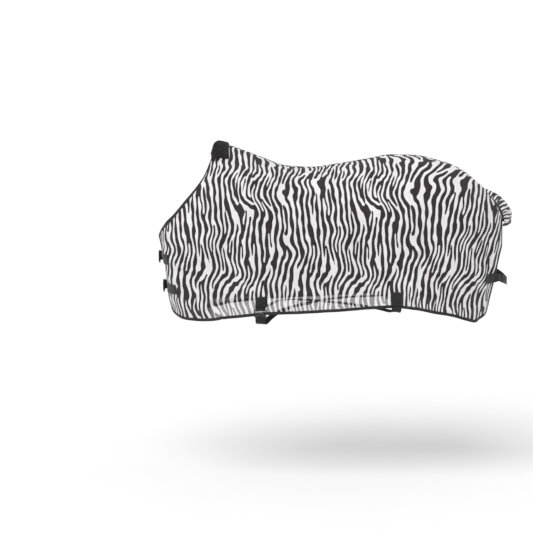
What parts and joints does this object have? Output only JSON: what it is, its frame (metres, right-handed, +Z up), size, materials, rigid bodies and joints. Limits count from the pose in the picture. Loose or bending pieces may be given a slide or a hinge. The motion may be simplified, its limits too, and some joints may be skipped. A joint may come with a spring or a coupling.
{
  "type": "horse fly sheet",
  "caption": "Zebra-print mesh fly sheet for a horse: two side panels joined along the spine, bound edges, chest clips, crossed belly surcingles, tail flap and tail strap.",
  "frame": {"origin": "where the sheet rests on the withers, on the middle of the spine seam's front end", "axes": "+X from the chest to the tail, +Y to the horse's right (off) side, +Z up"},
  "size_m": [1.7584, 0.6026, 0.8774],
  "materials": {
    "zebra_mesh": "open-weave polyester mesh, printed with dark and white zebra stripes",
    "binding": "folded woven tape, matte",
    "webbing": "ribbed woven webbing",
    "fleece": "deep curly fleece",
    "plastic": "moulded nylon, fine matte texture"
  },
  "bodies": {
    "sheet": {"near_panel": "zebra_mesh", "off_panel": "zebra_mesh", "spine_seam": "zebra_mesh", "tail_gusset": "zebra_mesh", "wither_fleece": "fleece", "wither_lining": "fleece", "near_neck_binding": "binding", "off_neck_binding": "binding", "near_front_binding": "binding", "off_front_binding": "binding", "near_hem_binding": "binding", "off_hem_binding": "binding", "near_rear_binding": "binding", "off_rear_binding": "binding", "near_tail_edge": "binding", "off_tail_edge": "binding", "near_upper_chest_patch": "webbing", "near_lower_chest_patch": "webbing", "off_upper_chest_patch": "webbing", "off_lower_chest_patch": "webbing", "near_front_patch": "webbing", "near_rear_patch": "webbing", "off_front_patch": "webbing", "off_rear_patch": "webbing", "near_tail_patch": "webbing", "off_tail_patch": "webbing", "upper_chest_loop": "webbing", "lower_chest_loop": "webbing", "near_belly_loop": "webbing", "off_belly_loop": "webbing", "upper_chest_strap": "webbing", "lower_chest_strap": "webbing", "near_surcingle": "webbing", "off_surcingle": "webbing"},
    "tail_flap": {"tail_flap": "zebra_mesh", "tail_flap_binding": "binding"},
    "tail_strap": {"tail_strap": "webbing"},
    "upper_chest_ring": {"upper_chest_ring": "plastic"},
    "upper_chest_hook": {"upper_chest_hook": "plastic", "upper_chest_end": "webbing"},
    "lower_chest_ring": {"lower_chest_ring": "plastic"},
    "lower_chest_hook": {"lower_chest_hook": "plastic", "lower_chest_end": "webbing"},
    "near_belly_ring": {"near_belly_ring": "plastic"},
    "near_belly_hook": {"near_belly_hook": "plastic", "near_belly_end": "webbing"},
    "off_belly_ring": {"off_belly_ring": "plastic"},
    "off_belly_hook": {"off_belly_hook": "plastic", "off_belly_end": "webbing"},
    "near_slider": {"near_slider": "plastic"},
    "off_slider": {"off_slider": "plastic"}
  },
  "joints": [
    {"name": "tail_flap_lift", "type": "hinge", "parent": "sheet", "child": "tail_flap", "pos_m": [1.388, 0, -0.236], "axis": [0, -1, 0], "range_deg": [0, 80]},
    {"name": "tail_strap_swing", "type": "hinge", "parent": "sheet", "child": "tail_strap", "pos_m": [1.396, 0, -0.64], "axis": [0, -1, 0], "range_deg": [0, 80]},
    {"name": "upper_chest_clip_swing", "type": "hinge", "parent": "sheet", "child": "upper_chest_ring", "pos_m": [-0.289, -0.038, -0.548], "axis": [0, 0, 1], "range_deg": [0, 35]},
    {"name": "upper_chest_hook_release", "type": "slide", "parent": "upper_chest_ring", "child": "upper_chest_hook", "axis": [0, -1, 0], "range_m": [0, 0.008]},
    {"name": "lower_chest_clip_swing", "type": "hinge", "parent": "sheet", "child": "lower_chest_ring", "pos_m": [-0.268, -0.038, -0.694], "axis": [0, 0, 1], "range_deg": [0, 35]},
    {"name": "lower_chest_hook_release", "type": "slide", "parent": "lower_chest_ring", "child": "lower_chest_hook", "axis": [0, -1, 0], "range_m": [0, 0.008]},
    {"name": "near_belly_clip_swing", "type": "hinge", "parent": "sheet", "child": "near_belly_ring", "pos_m": [0.217, -0.287, -0.778], "axis": [-1, 0, 0], "range_deg": [0, 45]},
    {"name": "near_belly_hook_release", "type": "slide", "parent": "near_belly_ring", "child": "near_belly_hook", "axis": [0, 0, 1], "range_m": [0, 0.008]},
    {"name": "off_belly_clip_swing", "type": "hinge", "parent": "sheet", "child": "off_belly_ring", "pos_m": [0.217, 0.287, -0.778], "axis": [1, 0, 0], "range_deg": [0, 45]},
    {"name": "off_belly_hook_release", "type": "slide", "parent": "off_belly_ring", "child": "off_belly_hook", "axis": [0, 0, 1], "range_m": [0, 0.008]},
    {"name": "near_slider_slide", "type": "slide", "parent": "sheet", "child": "near_slider", "axis": [0.7832, 0.6153, 0.0895], "range_m": [-0.04, 0.04]},
    {"name": "off_slider_slide", "type": "slide", "parent": "sheet", "child": "off_slider", "axis": [0.7853, -0.6171, 0.0496], "range_m": [-0.04, 0.04]}
  ]
}
